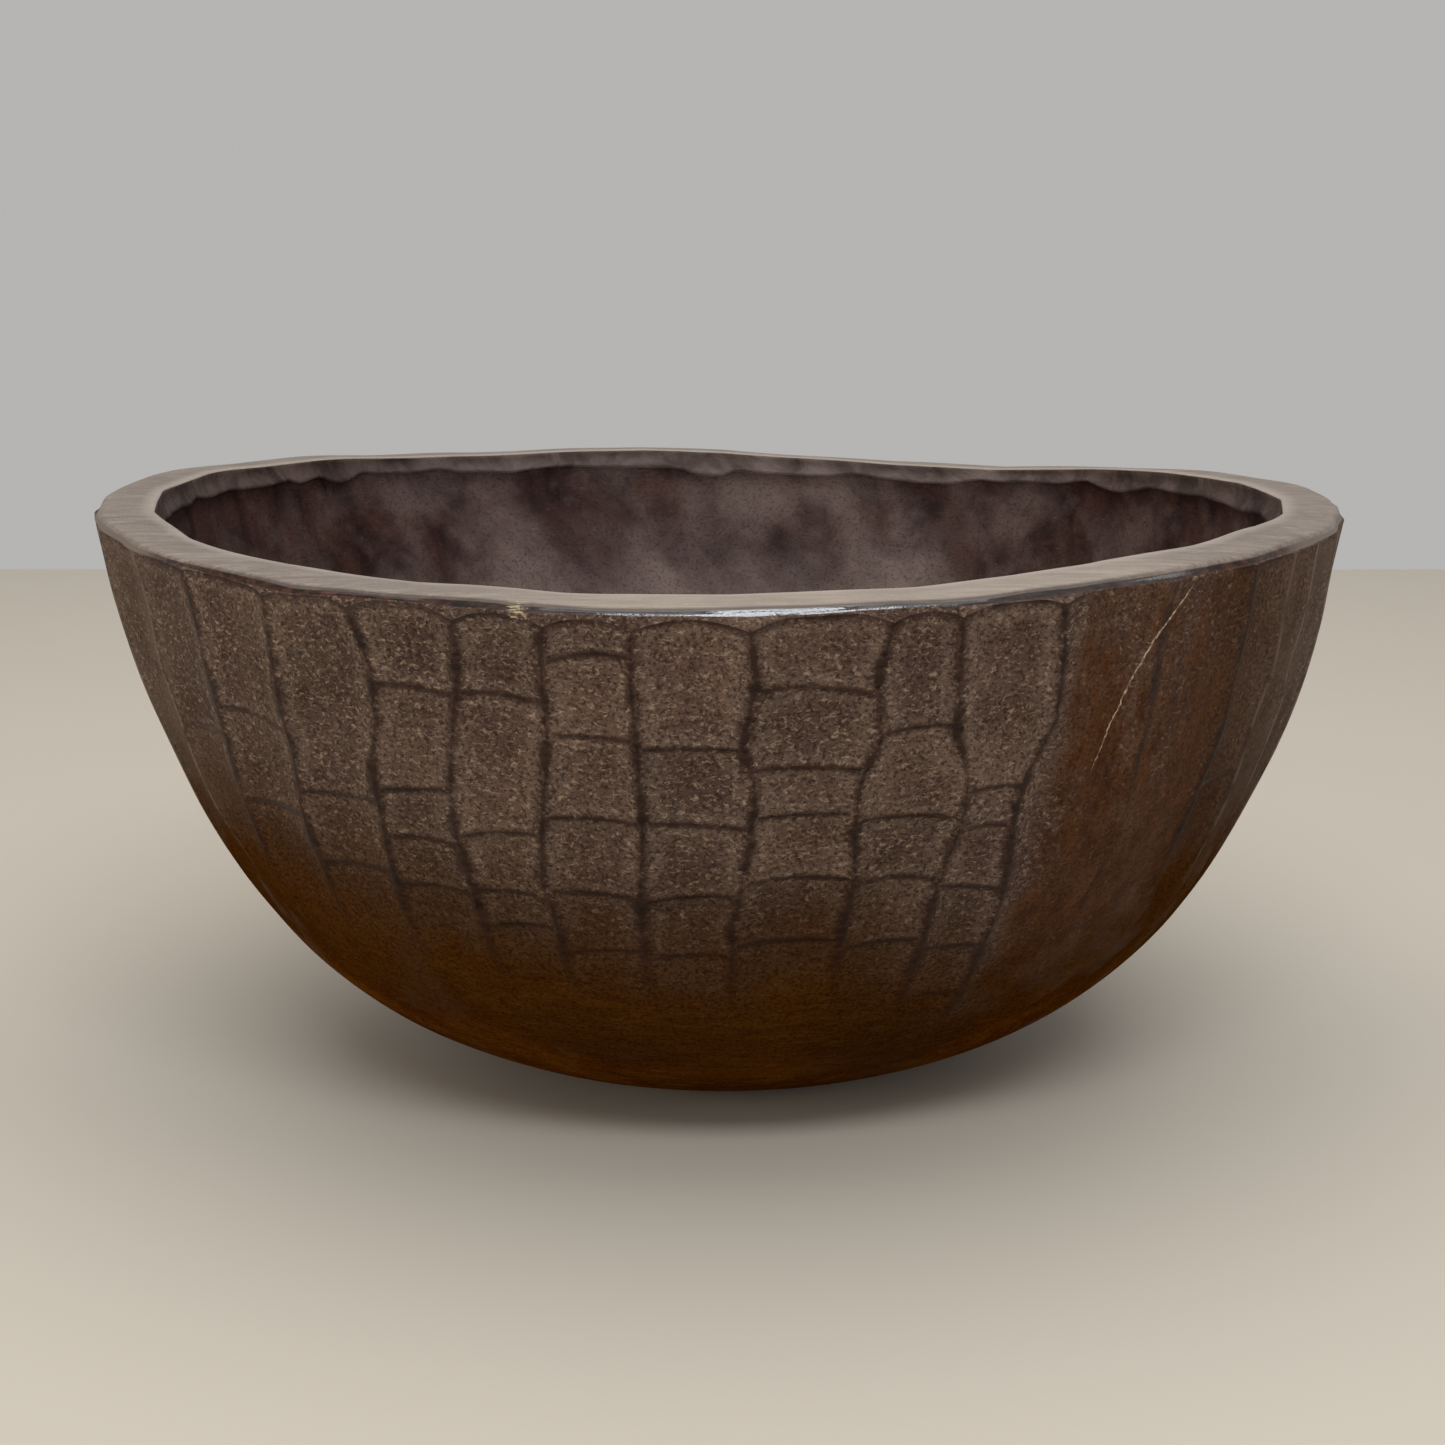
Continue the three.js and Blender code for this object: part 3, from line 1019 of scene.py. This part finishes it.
# %% Bare wood
streaks = noise(2.2, detail=4, stretch=(9, 1.3, 1), roughness=0.6, seed=31)
# near-black of the rubbed ridges, also the painted shade along the stops
dark_ridge_and_stop_shade = blend(between(streaks, 0.35, 0.65), (0.009, 0.004, 0.0028), (0.028, 0.013, 0.008))
patches = noise(30, detail=4, stretch=(1.6, 1, 1), seed=33)
# fewer pale spots, hairlines and fibres in the painted shade under the cells
clear_of_painted_shade = between(mark("painted_shade"), 0.0, 0.8, 1.0, 0.3)
spots = between(noise(9, detail=5, stretch=(1.8, 1, 1), seed=35), 0.5, 0.7, 0.0, 0.55)
hairlines = between(noise(1.0, detail=2, stretch=(18, 3, 0.7), seed=37), 0.6, 0.72, 0.0, 0.5)
warm = coats(
    blend(between(patches, 0.36, 0.66), (0.066, 0.0155, 0.0003), (0.12, 0.037, 0.0012)),
    (between(mark("painted_shade"), 0.0, 1.0, 0.0, 0.8), (0.045, 0.0165, 0.003)),  # painted shade: darker just under the cells
    (between(streaks, 0.4, 0.62, 0.0, 0.4), (0.026, 0.009, 0.001)),
    (product(spots, clear_of_painted_shade), (0.115, 0.042, 0.004)),
    (product(hairlines, clear_of_painted_shade), (0.19, 0.105, 0.04)),
    (between(specks, 0.36, 0.54, 0.6, 0.0), (0.014, 0.0045, 0.0006)),
    (product(between(fibres, 0.55, 0.72, 0.0, 0.4), clear_of_painted_shade), (0.2, 0.095, 0.03)),
)
upright = noise(6, detail=5, stretch=(1, 1, 5), roughness=0.65, seed=41)
red = coats(
    blend(between(upright, 0.35, 0.65), (0.042, 0.0135, 0.0042), (0.074, 0.027, 0.0085)),
    (between(noise(22, detail=4, seed=43), 0.48, 0.72, 0.0, 0.45), (0.092, 0.046, 0.021)),
    (between(specks, 0.36, 0.54, 0.55, 0.0), (0.014, 0.005, 0.002)),
    (between(fibres, 0.56, 0.72, 0.0, 0.4), (0.2, 0.12, 0.07)),
)

# %% Put the outside together
dust_edge = sums("ADD", mark("dust_and_painted_light"), between(clouds, 0.2, 0.8, -0.22, 0.22))
dust_edge = sums("ADD", dust_edge, between(specks, 0.3, 0.7, -0.16, 0.16))
has_dust = between(dust_edge, 0.02, 1.0)
is_worn = between(sums("ADD", mark("worn"), between(clouds, 0.25, 0.75, -0.25, 0.25)), 0.08, 0.8)
dust_left = noise(13, detail=5, stretch=(1, 1, 2.4), roughness=0.65, seed=45)
is_worn = product(is_worn, without(between(dust_left, 0.47, 0.66, 0.0, 0.5)))
outside = coats(
    blend(has_dust, warm, dusty),
    (product(is_worn, 0.96), red),
    # rubbed ridges, and painted shade along the stops
    (product(rubbed_and_stop_shade, 0.94), dark_ridge_and_stop_shade),
    # painted highlight on the crests at the sides
    (crest_highlight, (0.22, 0.17, 0.13)),
)
print("the outside has", len(tree_nodes), "nodes so far")

# %% [markdown]
# ## The bevel and the rim
#
# The bevel in front is the most handled edge, so it is dark and polished. On the left it is worn red, and at
# the two sides it is as dry as the rim. The rim's grain runs straight across the whole bowl, from left to
# right, as it does in one block of wood, so its streaks are stretched along X instead of round the circle.

# %% Bevel and rim
gleam = mark("gleam")
dark_bevel = coats(
    blend(between(streaks, 0.35, 0.7), (0.016, 0.01, 0.009), (0.045, 0.029, 0.026)),
    (between(fibres, 0.6, 0.75, 0.0, 0.5), (0.17, 0.15, 0.14)),
)
red_bevel = blend(between(streaks, 0.4, 0.62), (0.014, 0.006, 0.004), (0.06, 0.022, 0.012))
bevel_wood = blend(between(gleam, 0.1, 0.7), red_bevel, dark_bevel)
bevel_wood = blend(between(side, 0.2, 0.8), bevel_wood, (0.13, 0.1, 0.08))
grain = noise(1.0, detail=4, stretch=(26, 1.1, 1), roughness=0.6, seed=51, warp=0.3)
rim_streaks = noise(3.0, detail=5, stretch=(8, 1.2, 1), roughness=0.7, seed=55, warp=0.4)
rim_wood = coats(
    blend(between(grain, 0.35, 0.68), (0.165, 0.128, 0.102), (0.29, 0.238, 0.198)),
    (between(noise(16, detail=5, seed=53), 0.42, 0.72, 0.0, 0.45), (0.12, 0.085, 0.066)),
    (between(rim_streaks, 0.4, 0.6, 0.42, 0.0), (0.085, 0.06, 0.047)),
    (between(specks, 0.6, 0.74, 0.0, 0.45), (0.42, 0.37, 0.32)),
    (between(specks, 0.3, 0.46, 0.55, 0.0), (0.08, 0.055, 0.043)),
    (product(gleam, 0.28), (0.5, 0.41, 0.33)),                # painted highlight: paler in front
    (product(mark("inner_edge_highlight"), 0.5), (0.4, 0.34, 0.29)),    # and a painted highlight along its inner edge
)
on_bevel = between(mark("bevel"), 0.2, 0.8)
on_rim = between(sums("ADD", mark("rim"), between(clouds, 0.3, 0.7, -0.12, 0.12)), 0.3, 0.9)
outside = coats(
    outside,
    (on_bevel, bevel_wood),
    (on_rim, rim_wood),
    (product(mark("outer_line"), 0.75), (0.02, 0.012, 0.01)),
)
print("the rim's grain runs from left to right")

# %% [markdown]
# ## The band and the hollow
#
# Use has left the hollow a deep red-brown, and dust and painted light turn its back wall and its floor grey,
# with painted shade on its sides. Its mottle leans to one side, as the scoops do. The band is paler, and
# palest at the back.

# %% Band and hollow
mottle = noise(17, detail=6, stretch=(1, 1, 1.8), roughness=0.64, seed=61, warp=0.7, lean=-42)
bare_and_shaded_hollow = blend(between(mottle, 0.3, 0.7), (0.013, 0.0045, 0.0036), (0.055, 0.024, 0.018))
grey_and_lit_hollow = blend(between(mottle, 0.34, 0.66), (0.15, 0.106, 0.093), (0.208, 0.152, 0.133))
grey_edge = sums("ADD", mark("dust_and_painted_light"), between(noise(42, detail=4, seed=63), 0.3, 0.7, -0.25, 0.25))
seam_gap = sums("MULTIPLY_ADD", wander, 8.0, sums("SUBTRACT", mark("seam"), 4.0))
pale_band = blend(between(mottle, 0.35, 0.66), (0.062, 0.042, 0.037), (0.15, 0.113, 0.102))
dim_band = blend(between(mottle, 0.35, 0.66), (0.038, 0.024, 0.02), (0.102, 0.069, 0.059))
band_wood = blend(between(mark("dust_and_painted_light"), 0.0, 1.0), dim_band, pale_band)
inside = coats(
    # dark red-brown where shade is painted, grey where dust and painted light are
    blend(between(grey_edge, 0.05, 0.95), bare_and_shaded_hollow, grey_and_lit_hollow),
    (between(seam_gap, 0.0, 9.0, 0.22, 0.0), (0.13, 0.09, 0.08)),         # where two scoops meet
    (between(specks, 0.34, 0.5, 0.45, 0.0), (0.012, 0.006, 0.005)),
    (between(fibres, 0.58, 0.75, 0.0, 0.4), (0.15, 0.115, 0.105)),
    (between(mark("band"), 0.3, 0.9), band_wood),
)
in_hollow = between(mark("inside"), 0.3, 0.7)
print("the hollow is grey at the back")

# %% [markdown]
# ## The scratch and the chip
#
# A scratch shows pale because it cuts through the dark skin of the wood. It is widest at the top and breaks
# up on its way down. The chip has torn along the fibres, so its outline is a distance with noise added.

# %% Scratch and chip
run = mark("scratch_run")
scratch_width = between(run, 0.0, 0.9, 0.16, 0.44)
wobble = sums("MULTIPLY_ADD", noise(6, detail=4, roughness=0.7, seed=71), 3.4, -1.7)
off_scratch = sums("ABSOLUTE", sums("ADD", mark("scratch"), wobble))
breaks = between(noise(1.6, seed=73), 0.36, 0.56, 0.2, 1.0)
ends = product(between(run, -0.02, 0.12), between(run, 0.98, 1.03, 1.0, 0.0))
scratched = product(sums("LESS_THAN", off_scratch, scratch_width), breaks, ends)
splinters = noise(1.3, detail=3, stretch=(4, 1, 0.5), seed=77)
chipped = between(sums("MULTIPLY_ADD", splinters, 9.0, mark("chip")), 6.0, 6.9, 0.85, 0.0)
colour = coats(
    outside,
    (in_hollow, inside),
    (scratched, (0.4, 0.29, 0.2)),
    (chipped, (0.4, 0.3, 0.18)),
)
feed(shader.inputs["Base Color"], colour)
print("the scratch and the chip are in")

# %% [markdown]
# ## Sheen, roughness and relief
#
# How the finishes take the light tells them apart as much as their colour. Dust is dull, rubbed wood has a
# soft polish, and the bevel in front is glossy enough to show the window as a bright line. The bump is only
# for what is finer than the mesh: fibres, pits, streaks and grain.

# %% Roughness and sheen
on_open_bevel = product(on_bevel, without(in_hollow))
dull = between(fibres, 0.3, 0.7, 0.62, 0.85)
polish = between(streaks, 0.3, 0.7, 0.3, 0.46)
bevel_polish = mixed(side, between(streaks, 0.3, 0.7, 0.14, 0.24), 0.5)
cover = product(sums("MAXIMUM", rubbed_and_stop_shade, product(is_worn, 0.8)), without(in_hollow))
rough = mixed(has_dust, 0.44, dull)
rough = mixed(cover, rough, polish)
rough = mixed(on_open_bevel, rough, bevel_polish)
rough = mixed(on_rim, rough, between(grain, 0.3, 0.7, 0.42, 0.6))
rough = mixed(in_hollow, rough, between(mottle, 0.3, 0.7, 0.48, 0.68))
feed(shader.inputs["Roughness"], rough)
sheen = mixed(product(has_dust, full), 0.0, 0.12)
sheen = mixed(is_worn, sheen, 0.03)
sheen = mixed(product(rubbed_and_stop_shade, full), sheen, 0.1)
sheen = mixed(on_bevel, sheen, between(gleam, 0.0, 1.0, 0.25, 0.8))
sheen = mixed(on_rim, sheen, 0.4)
sheen = mixed(in_hollow, sheen, 0.09)
feed(shader.inputs["Specular IOR Level"], sheen)


# %% Relief
def relief(texture, gain):
    """A noise as heights round zero."""
    return product(sums("SUBTRACT", texture, 0.5), gain)


RELIEF_DEPTH = 0.7 * MM
fine = sums("ADD", relief(specks, 0.8), product(relief(fibres, 2.0), has_dust))
fine = mixed(cover, fine, relief(streaks, 0.3))
fine = mixed(on_open_bevel, fine, relief(fray, 0.22))
fine = mixed(on_rim, fine, relief(grain, 0.5))
fine = mixed(in_hollow, fine, sums("ADD", relief(mottle, 2.2), relief(fibres, 1.0)))
fine = sums("SUBTRACT", fine, product(scratched, 0.8))
fine = sums("SUBTRACT", fine, product(chipped, 0.6))
bump = tree_nodes.new("ShaderNodeBump")
bump.inputs["Strength"].default_value = 0.8
bump.inputs["Distance"].default_value = RELIEF_DEPTH
feed(bump.inputs["Height"], fine)
feed(shader.inputs["Normal"], bump.outputs["Normal"])
mesh.materials.append(finish)
print("the finish has", len(tree_nodes), "nodes")

# %% [markdown]
# ## The bowl's place in the record
#
# The bowl has no moving part, so its one mesh rides on the root and stands for the one solid of the record.

# %% Give the piece its place in the record
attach(bowl, "root")
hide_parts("bowl")
print("the carved bowl stands for the solid one")

# %% [markdown]
# ## Floor, light and camera
#
# A plain pale floor and a pale surround show a dark bowl best. One large soft light hangs overhead, and one
# stands in front like a tall window, which is what puts the bright line along the bevel.

# %% Pale floor
FLOOR_REACH = 1.3
floor_bm = bmesh.new()
bmesh.ops.create_grid(floor_bm, x_segments=1, y_segments=1, size=FLOOR_REACH)
floor_mesh = bpy.data.meshes.new("pale_floor")
floor_bm.to_mesh(floor_mesh)
floor_bm.free()
floor = bpy.data.objects.new("pale_floor", floor_mesh)
bpy.context.scene.collection.objects.link(floor)
floor_paint = bpy.data.materials.new("pale_paint")
floor_paint.use_nodes = True
floor_shader = floor_paint.node_tree.nodes["Principled BSDF"]
floor_shader.inputs["Base Color"].default_value = (0.52, 0.47, 0.4, 1)
floor_shader.inputs["Roughness"].default_value = 0.7
floor_mesh.materials.append(floor_paint)
print("the floor is", 2 * FLOOR_REACH, "m wide")


# %% Soft lights
def soft_light(name, place, target, width, length, watts, tint):
    """A rectangular softbox that faces its target."""
    lamp = bpy.data.lights.new(name, "AREA")
    lamp.shape = "RECTANGLE"
    lamp.size = width
    lamp.size_y = length
    lamp.energy = watts
    lamp.color = tint
    holder = bpy.data.objects.new(name, lamp)
    holder.location = place
    holder.rotation_mode = "QUATERNION"
    holder.rotation_quaternion = (Vector(target) - Vector(place)).to_track_quat("-Z", "Y")
    bpy.context.scene.collection.objects.link(holder)


soft_light("overhead_light", (0.0, 0.1, 1.8), (0, 0, 0.1), 2.2, 2.2, 20, (1.0, 0.98, 0.95))
soft_light("window_light", (0.22, -1.9, 1.75), (0, 0, 0.15), 1.5, 0.5, 30, (0.9, 0.95, 1.0))
soft_light("left_light", (-1.9, -1.2, 0.42), (0, 0, 0.12), 1.4, 0.6, 16, (1.0, 0.91, 0.77))
soft_light("right_light", (1.9, -0.7, 0.45), (0, 0, 0.12), 1.0, 0.6, 4.5, (1.0, 0.97, 0.93))
world = bpy.data.worlds.new("pale_room")
world.use_nodes = True
world.node_tree.nodes["Background"].inputs["Color"].default_value = (0.93, 0.92, 0.9, 1)
world.node_tree.nodes["Background"].inputs["Strength"].default_value = 0.5
bpy.context.scene.world = world
bpy.context.scene.view_settings.view_transform = "Standard"
print("four lights and a pale room")

# %% [markdown]
# ## The camera
#
# The camera looks down on the bowl a little, so that the rim shows as a flat ellipse with the far wall of the
# hollow behind it. Its distance and height are shares of the rim's radius, so they follow the bowl's size.

# %% Camera
CAMERA_PITCH = 11.1
CAMERA_BACK = 4.5
CAMERA_UP = 1.429
camera_data = bpy.data.cameras.new("camera")
camera_data.sensor_width = 36.0
camera_data.lens = 68.5
camera = bpy.data.objects.new("camera", camera_data)
camera.location = (-0.0009, -CAMERA_BACK * RIM_RADIUS * MM, CAMERA_UP * RIM_RADIUS * MM)
camera.rotation_euler = (math.radians(90 - CAMERA_PITCH), 0, 0)
bpy.context.scene.collection.objects.link(camera)
bpy.context.scene.camera = camera
print("the camera looks down by", CAMERA_PITCH, "degrees")

# %% End of the scene
print("the scene is built")
